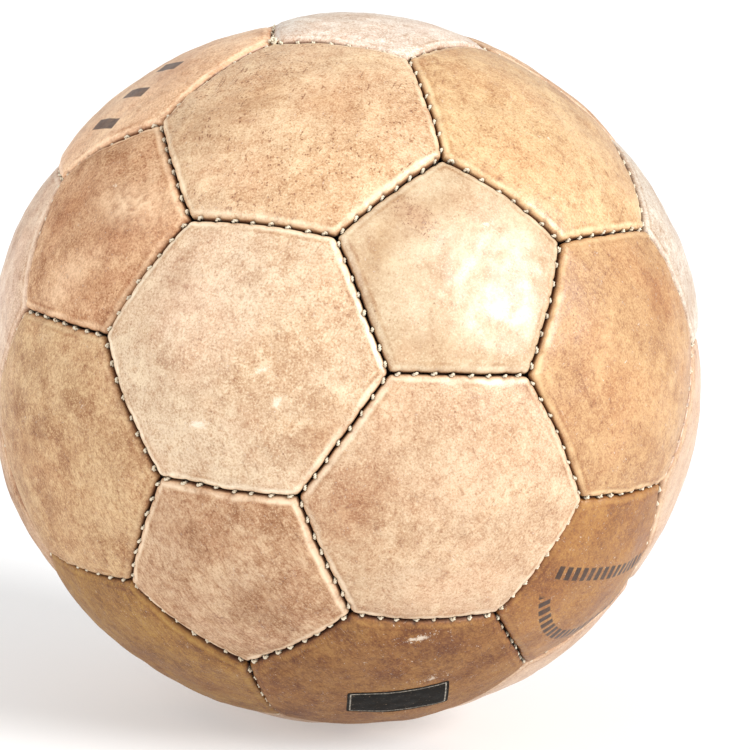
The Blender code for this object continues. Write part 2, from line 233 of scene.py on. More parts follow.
def ball_panels():
    """The 32 panels, from the top down, named as in the CAD model."""
    pentagon, hexagon = pentagon_corners(), hexagon_corners()
    upper = [direction(NEIGHBOUR_ANGLE, 72 * k) for k in range(5)]
    lower = [direction(math.pi - NEIGHBOUR_ANGLE, 72 * k + 36) for k in range(5)]
    panels = []

    def add(name, corners, middle, towards):
        middle = unit(middle)
        panels.append(Panel(name, turned(corners, middle, towards), middle, len(panels)))

    add("panel_pent_top", pentagon, UP, upper[0])
    add("panel_pent_bottom", pentagon, -UP, lower[0])
    for k in range(5):
        after = (k + 1) % 5
        add(f"panel_pent_upper_{k + 1}", pentagon, upper[k], UP)
        add(f"panel_pent_lower_{k + 1}", pentagon, lower[k], -UP)
        name = "panel_hex_valve" if k == 1 else f"panel_hex_top_{k + 1}"
        add(name, hexagon, UP + upper[k] + upper[after], UP)
        add(f"panel_hex_upper_{k + 1}", hexagon, lower[k] + upper[k] + upper[after], lower[k])
        add(f"panel_hex_lower_{k + 1}", hexagon, upper[after] + lower[k] + lower[after], upper[after])
        add(f"panel_hex_bottom_{k + 1}", hexagon, lower[k] + lower[after] - UP, -UP)
    return panels


def find_seams(panels):
    """Gives each panel its seams, one for each side, and returns the 90 seams."""
    found = {}
    for panel in panels:
        for k, start in enumerate(panel.corners):
            end = panel.corners[(k + 1) % len(panel.corners)]
            place = tuple(int(round(x * 1000)) for x in start + end)
            if place not in found:
                found[place] = Seam(len(found), start, end, panel.inward[k])
            panel.seams.append(found[place])
    return list(found.values())


def rounded_offsets():
    """Offsets from a corner's two sides for each pair of rows, drawn in so that the corner is round."""
    reach = (STRIP[-1] - STRIP) / (STRIP[-1] - STRIP[0])
    first, second = np.meshgrid(reach, reach, indexing="ij")
    power_sum = (first**ROUNDING + second**ROUNDING) ** (1 / ROUNDING)
    shrink = np.maximum(first, second) / np.maximum(power_sum, 1e-9)
    depth = STRIP[-1] - STRIP[0]
    return STRIP[-1] - first * shrink * depth, STRIP[-1] - second * shrink * depth


def corner_patch(panel, k):
    """Unit vectors of a square grid that fills the panel between corner k, two sides and its middle."""
    before, after = panel.inward[k - 1], panel.inward[k]
    corner = panel.corners[k]
    last = STRIP_CELLS
    patch = np.zeros((GRID + 1, GRID + 1, 3))
    patch[: last + 1, : last + 1] = meet(before, after, *rounded_offsets(), corner)
    share = (np.arange(1, INNER_CELLS + 1) / INNER_CELLS)[:, None, None]
    halfway = np.zeros(last + 1)
    after_end = meet(panel.along[k], after, halfway, STRIP, corner)
    before_end = meet(panel.along[k - 1], before, halfway, STRIP, corner)
    after_strip = slide(mix(patch[last, : last + 1], after_end, share), after, STRIP)
    before_strip = slide(mix(patch[: last + 1, last], before_end, share), before, STRIP)
    patch[last + 1 :, : last + 1] = after_strip
    patch[: last + 1, last + 1 :] = before_strip.transpose(1, 0, 2)
    across, down = share, share.reshape(1, -1, 1)
    near_side = mix(patch[last, last], patch[-1, last], across)
    far_side = mix(patch[last, -1], panel.middle, across)
    patch[last + 1 :, last + 1 :] = unit(mix(near_side, far_side, down))
    return patch


def patch_numbers(sides):
    """Point numbers of every corner's grid. A grid's last column is the next grid's last row."""
    size = GRID + 1
    middle = sides * GRID * size
    numbers = np.zeros((sides, size, size), dtype=int)
    own = np.arange(GRID * size).reshape(GRID, size)
    for k in range(sides):
        numbers[k, :GRID] = own + k * GRID * size
    for k in range(sides):
        numbers[k, GRID] = numbers[(k + 1) % sides, :, GRID]
        numbers[k, GRID, GRID] = middle
    return numbers


def grid_loop(numbers, row):
    """Point numbers round the panel along one row of its grids."""
    parts = []
    for grid in numbers:
        parts.append(grid[row, row:][::-1])
        parts.append(grid[row + 1 : GRID, row])
    return np.concatenate(parts)


def row_depths():
    """How far each row of the grid is rolled down below the panel's face."""
    row = np.minimum(*np.indices((GRID + 1, GRID + 1)))
    angles = np.array([*ROLL_ANGLES, *[90] * (GRID + 1 - len(ROLL_ANGLES))])
    return ROLL_DEPTH * (1 - np.sin(np.radians(angles[row])))


def grid_points(panel):
    """Unit vectors and roll depths of a panel's grids, with each shared point once."""
    depths = row_depths()[:GRID].ravel()
    vectors = [corner_patch(panel, k)[:GRID].reshape(-1, 3) for k in range(len(panel.corners))]
    vectors = np.concatenate([*vectors, panel.middle[None]])
    return vectors, np.append(np.tile(depths, len(panel.corners)), 0.0)


def face_radius(panel, vectors):
    """Distance from the ball's centre of a panel's crowned face, before its edge is rolled."""
    polar = np.arccos(np.clip(vectors @ panel.middle, -1, 1)) / panel.apothem
    return EDGE_RADIUS + PANEL_CROWN * (1 - polar**2)


def pull_of_stitches(seam, along, across, side):
    """How strongly stitches pull at points beside a seam, and how near the points are to a hole."""
    pull = np.zeros(len(along))
    pit = np.zeros(len(along))
    for place, slant, bias in zip(seam.stitches, seam.slants, seam.bias):
        away = along - place - side * slant
        pull = np.maximum(pull, np.exp(-((away / PULL_LENGTH) ** 2)))
        beside = across - side * bias - 0.9 * STITCH_REACH
        hole = (away / PIT_SIZE[0]) ** 2 + (beside / PIT_SIZE[1]) ** 2
        pit = np.maximum(pit, np.exp(-hole))
    return pull, pit


def shaped(panel, vectors, depths):
    """Points of a panel's face with its sinking edges, stitch pulls and lumps, and its stitch pits."""
    radius = face_radius(panel, vectors) - depths
    radius = radius + sum(size * waves.at(vectors * BALL_RADIUS + panel.offset) for size, waves in LUMPS)
    shift = np.zeros_like(vectors)
    nearest = np.full(len(vectors), 1.0)
    pits = np.zeros(len(vectors))
    for k, seam in enumerate(panel.seams):
        side = 1.0 if seam.inward @ panel.inward[k] > 0 else -1.0
        along, across = seam.coordinates(vectors)
        across = across * side
        nearest = np.minimum(nearest, across)
        near = across < 0.015
        along, across = along[near], across[near]
        pull, pit = pull_of_stitches(seam, along, across, side)
        radius[near] -= PULL_DEPTH * pull * np.exp(-((across / PULL_REACH) ** 2))
        radius[near] -= WIDE_PULL_DEPTH * np.sqrt(pull) * np.exp(-across / WIDE_PULL_REACH)
        radius[near] -= PIT_DEPTH * pit
        open_up = OPENING * pull * np.exp(-across / OPENING_REACH)
        stray = side * seam.wander(along) * np.exp(-across / WANDER_REACH)
        shift[near] += (open_up + stray)[:, None] * panel.inward[k]
        pits[near] = np.maximum(pits[near], pit)
    radius -= EDGE_SINK * np.exp(-nearest / SINK_REACH)
    welt_width = WELT_WIDTH * (1 + 0.16 * WELT_WAVES.at(vectors * BALL_RADIUS + panel.offset))
    welt = np.clip(1 - (nearest - SLOT_HALF) / welt_width, 0, 1)
    radius -= WELT_DEPTH * welt**1.1
    points = unit(vectors + shift / BALL_RADIUS) * radius[:, None]
    return points, nearest, welt, pits


class Shell:
    """Points and faces of one closed piece. Each point keeps four numbers for its material."""

    def __init__(self):
        self.points = []
        self.marks = []
        self.faces = []
        self.count = 0

    def add(self, points, seam_distance=0.0, pit=0.0, buried=0.0, welt=0.0):
        """Adds points, and returns their numbers."""
        marks = np.zeros((len(points), 4))
        for column, values in enumerate((seam_distance, pit, buried, welt)):
            marks[:, column] = values
        self.points.append(points)
        self.marks.append(marks)
        self.count += len(points)
        return np.arange(self.count - len(points), self.count)

    def bridge(self, first, second, flipped=False):
        """Four-sided faces between two loops with as many points."""
        loops = [first, second, np.roll(second, -1), np.roll(first, -1)]
        faces = np.stack(loops[::-1] if flipped else loops, axis=-1)
        self.faces += faces.tolist()

    def fan(self, loop, pole):
        following = np.roll(loop, -1)
        self.faces += [[int(a), int(pole), int(b)] for a, b in zip(loop, following)]

    def fill_between(self, outer, inner):
        """Three-sided faces between two loops that start side by side, whatever their counts."""
        i, j = 0, 0
        while i < len(outer) or j < len(inner):
            here, there = int(outer[i % len(outer)]), int(inner[j % len(inner)])
            if (i + 1) * len(inner) <= (j + 1) * len(outer):
                i += 1
                self.faces.append([here, there, int(outer[i % len(outer)])])
            else:
                j += 1
                self.faces.append([here, there, int(inner[j % len(inner)])])

    def mesh(self, name):
        """The piece's mesh, without points that no face uses."""
        points = np.concatenate(self.points)
        marks = np.concatenate(self.marks)
        used = np.zeros(len(points), dtype=bool)
        for face in self.faces:
            used[face] = True
        renumber = np.cumsum(used) - 1
        faces = [renumber[face].tolist() for face in self.faces]
        mesh = bpy.data.meshes.new(name)
        mesh.from_pydata(points[used].tolist(), [], faces)
        mesh.shade_smooth()
        return mesh, points[used], marks[used]


def hole_moved(panel, vectors, numbers):
    """The valve panel's unit vectors with the rows round its middle eased onto the hole's circle."""
    moved = vectors.copy()
    polar = np.arccos(np.clip(vectors @ panel.middle, -1, 1))
    ring_polar = polar[grid_loop(numbers, GRID - HOLE_CELLS)]
    flat = unit(vectors - (vectors @ panel.middle)[:, None] * panel.middle + 1e-12)
    wanted = HOLE_RADIUS / BALL_RADIUS
    for ring in range(HOLE_CELLS, HOLE_CELLS + HOLE_EASE_ROWS):
        loop = grid_loop(numbers, GRID - ring)
        ease = 1 - (ring - HOLE_CELLS) / HOLE_EASE_ROWS
        target = polar[loop] + ease * (wanted - ring_polar.mean() * polar[loop] / polar[loop].mean())
        target = mix(polar[loop], target, ease)
        if ring == HOLE_CELLS:
            target = np.full(len(loop), wanted)
        moved[loop] = np.cos(target)[:, None] * panel.middle + np.sin(target)[:, None] * flat[loop]
    return moved


def close_back(shell, panel, vectors, numbers, border, border_points):
    """The seam flange below a panel's edge, and the leather's back, up to the middle or the hole."""
    foot = unit(border_points) * FLANGE_FOOT_RADIUS
    upper = border
    for share in (0.12, 0.35, 1.0):
        lower = shell.add(mix(border_points, foot, share), 0.0, 0.0, share)
        shell.bridge(upper, lower)
        upper = lower
    back = vectors[grid_loop(numbers, FLANGE_ROW)]
    step = (len(border) - len(back)) // len(panel.corners)
    foot_back = shell.add(back * FLANGE_FOOT_RADIUS, 0.0, 0.0, 1.0)
    top_back = shell.add(back * (EDGE_RADIUS - BACK_DEPTH), 0.0, 0.0, 1.0)
    if step:
        shell.fill_between(upper, foot_back)
    shell.bridge(foot_back, top_back)
    middle_ring = unit(mix(back, panel.middle, 0.5))
    radius = face_radius(panel, middle_ring) - LEATHER
    inner = shell.add(middle_ring * radius[:, None], 0.0, 0.0, 1.0)
    shell.bridge(top_back, inner)
    return inner


def panel_shell(panel):
    """A closed panel: the pillowed face, the rolled edge, the seam flange and the back."""
    shell = Shell()
    numbers = patch_numbers(len(panel.corners))
    vectors, depths = grid_points(panel)
    valve = panel.name == "panel_hex_valve"
    if valve:
        vectors = hole_moved(panel, vectors, numbers)
    points, distance, welt, pits = shaped(panel, vectors, depths)
    shell.add(points, distance, pits, 0.0, welt)
    cells = GRID - HOLE_CELLS if valve else GRID
    row = np.minimum(*np.indices((GRID, GRID)))
    kept = row < cells
    for grid in numbers:
        quads = np.stack([grid[:-1, :-1], grid[1:, :-1], grid[1:, 1:], grid[:-1, 1:]], axis=-1)
        shell.faces += quads[kept].tolist()
    border = grid_loop(numbers, 0)
    inner = close_back(shell, panel, vectors, numbers, border, points[border])
    if valve:
        rim = grid_loop(numbers, GRID - HOLE_CELLS)
        below = points[rim] * (1 - LEATHER / BALL_RADIUS)
        back_rim = shell.add(below, 0.02, 0.0, 0.3)
        shell.bridge(rim, back_rim, flipped=True)
        shell.fill_between(inner, back_rim)
    else:
        pole = shell.add(panel.middle[None] * (BALL_RADIUS - LEATHER), 0.0, 0.0, 1.0)
        shell.fan(inner, pole[0])
    return shell


# Each panel was cut from another part of a hide. Colour, and how much nap the surface shows. The colours of
# panel_pent_lower_5, panel_hex_bottom_3 and panel_hex_bottom_4 are darker partly as painted shade from
# below.
TINTS_WITH_PAINTED_SHADE = {
    "panel_pent_top": ((0.85, 0.76, 0.67), 0.1),
    "panel_pent_upper_1": ((0.64, 0.57, 0.48), 0.1),
    "panel_pent_upper_4": ((0.69, 0.44, 0.26), 1.0),
    "panel_pent_upper_5": ((0.61, 0.47, 0.31), 0.0),
    "panel_pent_lower_4": ((0.60, 0.41, 0.26), 0.9),
    "panel_pent_lower_5": ((0.36, 0.17, 0.04), 0.5),
    "panel_hex_top_3": ((0.88, 0.60, 0.38), 0.3),
    "panel_hex_top_4": ((0.71, 0.51, 0.32), 0.3),
    "panel_hex_top_5": ((0.66, 0.45, 0.24), 0.1),
    "panel_hex_upper_3": ((0.76, 0.57, 0.42), 0.2),
    "panel_hex_upper_4": ((0.70, 0.53, 0.36), 0.1),
    "panel_hex_upper_5": ((0.53, 0.32, 0.15), 0.3),
    "panel_hex_lower_3": ((0.62, 0.42, 0.23), 0.8),
    "panel_hex_lower_4": ((0.64, 0.46, 0.30), 0.2),
    "panel_hex_bottom_3": ((0.36, 0.19, 0.04), 0.8),
    "panel_hex_bottom_4": ((0.31, 0.15, 0.04), 1.0),
}
PALE_HIDE = np.array((0.68, 0.48, 0.32))
DARK_HIDE = np.array((0.52, 0.33, 0.19))


def panel_finish(panel):
    """Colour and nap of a panel: those named above, or between the palest and darkest hides."""
    if panel.name in TINTS_WITH_PAINTED_SHADE:
        return TINTS_WITH_PAINTED_SHADE[panel.name]
    rng = np.random.default_rng(800 + panel.number)
    return tuple(mix(DARK_HIDE, PALE_HIDE, rng.uniform(0.1, 1.0))), rng.uniform(0.0, 0.8)


def seen_from_front(panel, vectors):
    """Millimetres right of and above a panel's middle, for someone who looks along +Y."""
    right = unit(np.array([1.0, 0.0, 0.0]) - panel.middle[0] * panel.middle)
    up = np.cross(panel.middle, right)
    flat = vectors - (vectors @ panel.middle)[:, None] * panel.middle
    reach = np.arccos(np.clip(vectors @ panel.middle, -1, 1)) * BALL_RADIUS * 1000
    flat = unit(flat + 1e-12) * reach[:, None]
    return flat @ right, flat @ up


def from_front(panel, right, up):
    """The unit vector at millimetres right of and above a panel's middle, as seen from the front."""
    aside = unit(np.array([1.0, 0.0, 0.0]) - panel.middle[0] * panel.middle)
    away = (right[..., None] * aside + up[..., None] * np.cross(panel.middle, aside)) / 1000
    polar = np.linalg.norm(away, axis=-1, keepdims=True) / BALL_RADIUS
    return np.cos(polar) * panel.middle + np.sin(polar) * unit(away + 1e-12)


def turned_flat(right, up, degrees):
    """Coordinates along and across a direction at some degrees above rightwards."""
    cosine, sine = math.cos(math.radians(degrees)), math.sin(math.radians(degrees))
    return right * cosine + up * sine, up * cosine - right * sine


def marked(panel, vectors, marks):
    """How strongly each point of a panel is marked. A mark: right, up, length, width, turn, strength."""
    right, up = seen_from_front(panel, vectors)
    strength = np.zeros(len(vectors))
    for mark_right, mark_up, length, width, turn, power in marks:
        along, across = turned_flat(right - mark_right, up - mark_up, turn)
        reach = (along / length * 2) ** 2 + (across / width * 2) ** 2
        strength = np.maximum(strength, power * np.exp(-reach))
    return strength


def chance_marks(panel, kind, count, lengths, strengths):
    """Marks in random places, for panels whose own aren't known."""
    rng = np.random.default_rng(2000 + 10 * panel.number + kind)
    marks = []
    for _ in range(count):
        length = rng.uniform(*lengths)
        width = length * rng.uniform(0.25, 0.7)
        marks.append((*rng.uniform(-22, 22, 2), length, width, rng.uniform(0, 180), rng.uniform(*strengths)))
    return marks


# Painted highlight: pale edge strips raised on these panels, on top of rubbed wear on every panel.
RUBBED_AND_LIT_EDGES = {
    "panel_pent_upper_4": 0.4,
    "panel_pent_lower_4": 1.0,
    "panel_hex_top_4": 0.5,
    "panel_hex_top_5": 0.5,
    "panel_hex_upper_4": 0.55,
    "panel_hex_upper_5": 0.6,
    "panel_hex_lower_4": 0.5,
}


def rubbed_and_lit_edges(panel, vectors):
    """How pale the strip along the nearest side of a panel is: rubbed wear, raised on the listed panels as a
    painted highlight along their edges.
    """
    rng = np.random.default_rng(3000 + panel.number)
    amounts = RUBBED_AND_LIT_EDGES.get(panel.name, 0.0) + rng.uniform(0.0, 0.55, len(panel.seams))
    nearest = np.argmin(vectors @ panel.inward.T, axis=-1)
    return np.clip(amounts, 0, 1)[nearest]


SCRATCHED = {"panel_hex_top_4": 1.0, "panel_hex_upper_4": 0.4, "panel_hex_top_5": 0.5}


def scratched(panel):
    """How dark a panel's long scratches are."""
    chance = np.random.default_rng(4000 + panel.number).uniform(0.1, 0.6)
    return SCRATCHED.get(panel.name, chance)


# Pale scuffs, dark rubbed-in smudges, brown stains and bleached places; the stains along
# panel_pent_upper_5's left and lower edges are partly painted shade, and the bleached places partly painted
# highlights. Each is right and up of the middle, length, width, turn and strength.
SCUFFS = {
    "panel_hex_upper_4": ((-10, -21, 8, 3, 5, 1), (14, -13, 6, 3, 70, 1), (9, -4, 6, 2, 25, 0.8)),
    "panel_hex_bottom_4": ((7, 33, 11, 2.5, 0, 1), (12, 10, 7, 3, 10, 0.8)),
}
SMUDGES = {
    "panel_pent_upper_5": ((-14, 14, 17, 9, -35, 1),),
}
# Stains; the long ones along panel_pent_upper_5's left and lower edges are partly painted shade.
STAINS_AND_EDGE_SHADE = {
    "panel_hex_upper_4": ((28, -22, 18, 14, 40, 0.9), (-22, 20, 18, 12, 30, 0.5)),
    "panel_hex_lower_4": ((-30, 0, 26, 14, 60, 0.8),),
    "panel_hex_top_5": ((15, 33, 20, 10, 20, 0.8),),
    "panel_hex_upper_5": ((8, 20, 24, 12, 80, 0.9), (8, -23, 16, 12, 0, 0.5)),
    "panel_hex_bottom_4": ((20, 26, 40, 14, -20, 0.9), (-12, 20, 30, 12, 10, 0.5), (24, 8, 20, 9, 0, 0.7)),
    "panel_hex_top_4": ((-18, 6, 30, 16, 20, 0.8), (8, 4, 22, 14, -20, 0.6)),
    "panel_pent_lower_4": ((-16, 13, 20, 12, 0, 0.7), (10, -4, 18, 12, 20, 0.6)),
    "panel_pent_upper_4": ((-10, 8, 26, 13, 40, 1), (12, -8, 24, 12, -30, 0.9), (2, -22, 22, 9, 0, 0.8)),
    "panel_pent_upper_5": ((-24, 4, 34, 9, 70, 0.9), (-10, 18, 24, 9, 35, 0.6), (-4, -24, 26, 7, 0, 0.5)),
}
# Bleached places, partly painted highlights where light falls broadly on a panel or along its edge.
BLEACHED_AND_HIGHLIGHTS = {
    "panel_pent_upper_5": ((9, -9, 36, 28, -40, 0.15),),
    "panel_hex_upper_5": ((-18, 4, 30, 8, 80, 0.4),),
    "panel_pent_upper_4": ((17, 0, 26, 14, -25, 1), (-10, -16, 30, 9, 10, 0.7)),
}


def wear_of(panel, vectors):
    """Scuffs, smudges and stains at each point of a panel."""
    scuffs = SCUFFS.get(panel.name) or chance_marks(panel, 1, 1, (3, 6), (0.3, 0.75))
    smudges = SMUDGES.get(panel.name) or chance_marks(panel, 2, 1, (6, 14), (0.0, 0.7))
    stains = STAINS_AND_EDGE_SHADE.get(panel.name) or chance_marks(panel, 3, 3, (12, 28), (0.4, 0.9))
    return np.stack([marked(panel, vectors, marks) for marks in (scuffs, smudges, stains)], axis=-1)


# Ink: kind (1 a half-round stamp, 2 a row of bars), right and up of the middle, and turn
INK = {"panel_pent_lower_5": (1, 11, 6, -35), "panel_hex_top_3": (2, -5, -16, 28)}


def ink_place(panel, vectors):
    """Where each point lies on its panel's ink, in millimetres, and which kind of ink it is."""
    kind, ink_right, ink_up, turn = INK.get(panel.name, (0, 0, 0, 0))
    right, up = seen_from_front(panel, vectors)
    along, across = turned_flat(right - ink_right, up - ink_up, turn)
    return np.stack([along, across, np.full(len(along), float(kind))], axis=-1)


ATTRIBUTE_KINDS = {1: ("FLOAT", "value"), 3: ("FLOAT_VECTOR", "vector"), 4: ("FLOAT_COLOR", "color")}


def add_attribute(mesh, name, values):
    """Gives each point of a mesh a number, a vector or a colour, for its material."""
    values = np.asarray(values, dtype=np.float32)
    kind, field = ATTRIBUTE_KINDS[values.size // len(mesh.vertices)]
    mesh.attributes.new(name, kind, "POINT").data.foreach_set(field, values.ravel())


def put_piece(name, mesh, material, slot, body, *replaced):
    piece = bpy.data.objects.new(name, mesh)
    bpy.context.scene.collection.objects.link(piece)
    mesh.materials.append(material)
    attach(piece, body)
    if replaced:
        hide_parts(*replaced)


def build_panel(panel, material):
    mesh, points, marks = panel_shell(panel).mesh(panel.name.replace("panel", "leather"))
    vectors = unit(points)
    tint, nap = panel_finish(panel)
    count = len(points)
    add_attribute(mesh, "panel_tint", np.tile([*tint, nap], (count, 1)))
    add_attribute(mesh, "panel_offset", np.tile(panel.offset, (count, 1)))
    add_attribute(mesh, "seam_distance", np.clip(marks[:, 0] * 1000, 0, 30))
    # stitch_pit and buried mark where shade is painted in the stitch holes and inside the slot.
    add_attribute(mesh, "stitch_pit", marks[:, 1])
    add_attribute(mesh, "buried", marks[:, 2])
    add_attribute(mesh, "welt", marks[:, 3])
    add_attribute(mesh, "rubbed_and_highlight", rubbed_and_lit_edges(panel, vectors))
    add_attribute(mesh, "scratched", np.full(count, scratched(panel)))
    add_attribute(mesh, "wear", wear_of(panel, vectors))
    add_attribute(mesh, "bleached_and_highlight", marked(panel, vectors, BLEACHED_AND_HIGHLIGHTS.get(panel.name, ())))
    add_attribute(mesh, "ink_place", ink_place(panel, vectors))
    put_piece(mesh.name, mesh, material, "leather", "ball", panel.name)


def build_label(panel, material):
    """A thin blank label, stuck low on a panel. It follows the panel's surface."""
    along, across = np.meshgrid(*(np.linspace(-1, 1, cells) for cells in LABEL_CELLS), indexing="ij")
    rounding = LABEL_ROUNDING
    shrink = (along**rounding + across**rounding) ** (1 / rounding)
    shrink = np.maximum(shrink / np.maximum(np.maximum(abs(along), abs(across)), 1e-9), 1e-9)
    along = along / shrink * LABEL_SIZE[0] / 2
    across = across / shrink * LABEL_SIZE[1] / 2
    right, up = turned_flat(along, across, -LABEL_TURN)
    vectors = from_front(panel, right + LABEL_PLACE[0], up + LABEL_PLACE[1]).reshape(-1, 3)
    points = shaped(panel, vectors, 0.0)[0]
    shell = Shell()
    outer = shell.add(points + unit(points) * LABEL_THICKNESS).reshape(along.shape)
    inner = shell.add(points - unit(points) * LABEL_THICKNESS).reshape(along.shape)
    for grid, flipped in ((outer, False), (inner, True)):
        corners = [grid[:-1, :-1], grid[1:, :-1], grid[1:, 1:], grid[:-1, 1:]]
        quads = np.stack(corners[::-1] if flipped else corners, axis=-1)
        shell.faces += quads.reshape(-1, 4).tolist()
    borders = []
    for grid in (outer, inner):
        borders.append(np.concatenate([grid[:-1, 0], grid[-1, :-1], grid[:0:-1, -1], grid[0, :0:-1]]))
    shell.bridge(*borders, flipped=True)
    mesh = shell.mesh("label_blank")[0]
    edge = np.minimum(LABEL_SIZE[0] / 2 - abs(along), LABEL_SIZE[1] / 2 - abs(across)).ravel()
    add_attribute(mesh, "edge_distance", np.tile(edge, 2))
    put_piece("label_blank", mesh, material, "leather", "ball")


def smooth_path(points):
    """Points on a smooth curve through the given ones."""
    points = np.array(points)
    padded = np.concatenate([[2 * points[0] - points[1]], points, [2 * points[-1] - points[-2]]])
    before, start, end, after = padded[:-3], padded[1:-2], padded[2:-1], padded[3:]
    path = []
    for step in range(PATH_STEPS):
        t = step / PATH_STEPS
        bend = (2 * before - 5 * start + 4 * end - after) * t**2
        swing = (3 * start - before - 3 * end + after) * t**3
        path.append(0.5 * (2 * start + (end - before) * t + bend + swing))
    path = np.stack(path, axis=1).reshape(-1, 3)
    return np.concatenate([path, points[-1:]])


def carried_frames(path):
    """Two directions across a path at each of its points, carried along without twisting."""
    tangents = unit(np.gradient(path, axis=0))
    side = unit(np.cross(tangents[0], path[0]))
    sides = []
    for tangent in tangents:
        side = unit(side - (side @ tangent) * tangent)
        sides.append(side)
    sides = np.array(sides)
    return sides, np.cross(tangents, sides)


def add_tube(shell, path, sides, ups, radius):
    """A round tube along a path, closed at both ends."""
    turns = np.arange(TUBE_SIDES) * 2 * math.pi / TUBE_SIDES
    before = None
    for centre, side, up in zip(path, sides, ups):
        ring = centre + radius * (np.outer(np.cos(turns), side) + np.outer(np.sin(turns), up))
        loop = shell.add(ring)
        if before is None:
            shell.faces.append(loop[::-1].tolist())
        else:
            corners = [before, np.roll(before, -1), np.roll(loop, -1), loop]
            shell.faces += np.stack(corners, axis=-1).tolist()
        before = loop
    shell.faces.append(before.tolist())


def add_cord(shell, path):
    """Two plies of thread twisted round a path."""
    sides, ups = carried_frames(path)
    run = np.concatenate([[0], np.cumsum(np.linalg.norm(np.diff(path, axis=0), axis=1))])
    angle = (run / TWIST_LENGTH * 2 * math.pi)[:, None]
    for start in (0, math.pi):
        away = np.cos(angle + start) * sides + np.sin(angle + start) * ups
        add_tube(shell, path + PLY_OFFSET * away, sides, ups, PLY_RADIUS)


def softened(profile, size):
    """A closed profile with its corners cut to small curves."""
    profile = np.array(profile)
    soft = []
    for before, corner, after in zip(np.roll(profile, 1, axis=0), profile, np.roll(profile, -1, axis=0)):
        arms = []
        for end in (before, after):
            reach = np.linalg.norm(end - corner)
            arms.append(corner + (end - corner) * min(size, 0.4 * reach) / max(reach, 1e-9))
        if corner[0] < 1e-6:
            soft.append(corner)
            continue
        for t in (0.0, 0.5, 1.0):
            soft.append(mix(mix(arms[0], corner, t), mix(corner, arms[1], t), t))
    return soft


def build_turned(name, axis, profile, material, body):
    """A round piece that replaces a CAD node: its closed (radius, height) profile spun about an axis."""
    shell = Shell()
    side = unit(np.cross(axis, UP))
    front = np.cross(axis, side)
    turns = np.linspace(0, 2 * math.pi, TURNED_SIDES, endpoint=False)[:, None]
    loops = []
    for radius, height in softened(profile, 0.00018):
        if radius < 1e-6:
            loops.append(shell.add(height * axis[None]))
        else:
            loops.append(shell.add(height * axis + radius * (np.cos(turns) * side + np.sin(turns) * front)))
    for loop, following in zip(loops, [*loops[1:], loops[0]]):
        if len(loop) == 1 and len(following) == 1:
            continue
        if len(following) == 1:
            shell.fan(loop[::-1], following[0])
        elif len(loop) == 1:
            shell.fan(following, loop[0])
        else:
            shell.bridge(following, loop)
    mesh = shell.mesh("moulded_" + name)[0]
    put_piece(mesh.name, mesh, material, "valve_rubber", body, name)


def build_valve(axis, material):
    """The moulded valve housing, with a beaded rim, and its push-in core, with a ribbed stem."""
    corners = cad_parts["valve_housing"].data.vertices
    corners = np.array([tuple(corner.co) for corner in corners])
    heights = corners @ axis
    flange = heights[np.linalg.norm(corners - np.outer(heights, axis), axis=1) > 0.9 * VALVE_FLANGE_RADIUS]
    flange_top, flange_foot, nipple_end = flange.max(), flange.min(), heights.min()
    top = VALVE_TOP
    floor = top - 0.0013
    housing = [(0.0039, top - 0.0001), (0.0042, top), (0.0046, top), (0.0048, top - 0.0003)]
    housing += [(0.0051, top - 0.0003), (0.0053, top), (0.0056, top), (0.0060, top - 0.0005)]
    housing += [(0.0060, flange_top), (VALVE_FLANGE_RADIUS, flange_top), (VALVE_FLANGE_RADIUS, flange_foot)]
    housing += [(0.0042, flange_foot), (0.0042, nipple_end), (0.0028, nipple_end), (0.0028, floor)]
    housing += [(0.0039, floor)]
    build_turned("valve_housing", axis, housing, material, "ball")
    core = [(0.0, top - 0.0090), (0.0008, top - 0.0090), (0.0008, top - 0.0004), (0.0012, top - 0.0001)]
    core += [(0.0021, top - 0.0001), (0.0023, top - 0.0003), (0.0026, top - 0.0003), (0.0028, top)]
    core += [(0.0034, top), (0.0036, top - 0.0003), (0.0036, top - 0.0010), (0.0025, top - 0.0010)]
    for k in range(3):
        groove = mix(top - 0.0010, nipple_end, 0.25 * (k + 1))
        core += [(0.0025, groove + 0.0005), (0.0022, groove + 0.0003), (0.0022, groove - 0.0003)]
        core += [(0.0025, groove - 0.0005)]
    core += [(0.0025, nipple_end), (0.0014, nipple_end - 0.0020), (0.0, nipple_end - 0.0020)]
    build_turned("valve_core", axis, core, material, "valve_core")


# A stitch from the middle of the slot outwards: share of its reach, and depth below its top
STITCH_ARCH = ((1.0, 0.0031), (0.98, 0.0015), (0.75, 0.0004), (0.0, 0.0))


def lacing_path(seam, first, last):
    """Points of the thread through some of a seam's stitches: over the slot, and back below it."""
    arch = [*STITCH_ARCH, *[(-share, sink) for share, sink in STITCH_ARCH[-2::-1]]]
    points = []
    for k in range(first, last):
        place, slant, bias = seam.stitches[k], seam.slants[k], seam.bias[k]
        top = STITCH_DEPTH + seam.heights[k]
        for share, sink in arch:
            points.append(seam.point(place + share * slant, share * STITCH_REACH + bias, top + sink))
        if k + 1 < last:
            ahead = seam.stitches[k + 1] - place
            points.append(seam.point(place + ahead * 0.20, -0.0002, 0.0062))
            points.append(seam.point(place + ahead * 0.80, 0.0002, 0.0062))
    return smooth_path(points)


def add_knot(shell, place, beside):
    """A small tight knot on the surface, where a thread was tied off."""
    up = unit(place)
    side = unit(beside - (beside @ up) * up)
    across = np.cross(up, side)
    turn = np.linspace(0, 2 * math.pi, 40)[:, None]
    flat_x = np.sin(turn) + 2 * np.sin(2 * turn)
    flat_y = np.cos(turn) - 2 * np.cos(2 * turn)
    path = place + 0.00042 * (flat_x * side + flat_y * across - 1.2 * np.sin(3 * turn) * up)
    add_cord(shell, path)


def knot_corner(panel):
    """The corner of a pentagon where its thread ends: at the back, but for the top one's."""
    if panel.name == "panel_pent_top":
        return max(panel.corners, key=lambda corner: corner @ direction(math.pi / 2, 216))
    return max(panel.corners, key=lambda corner: corner[1])


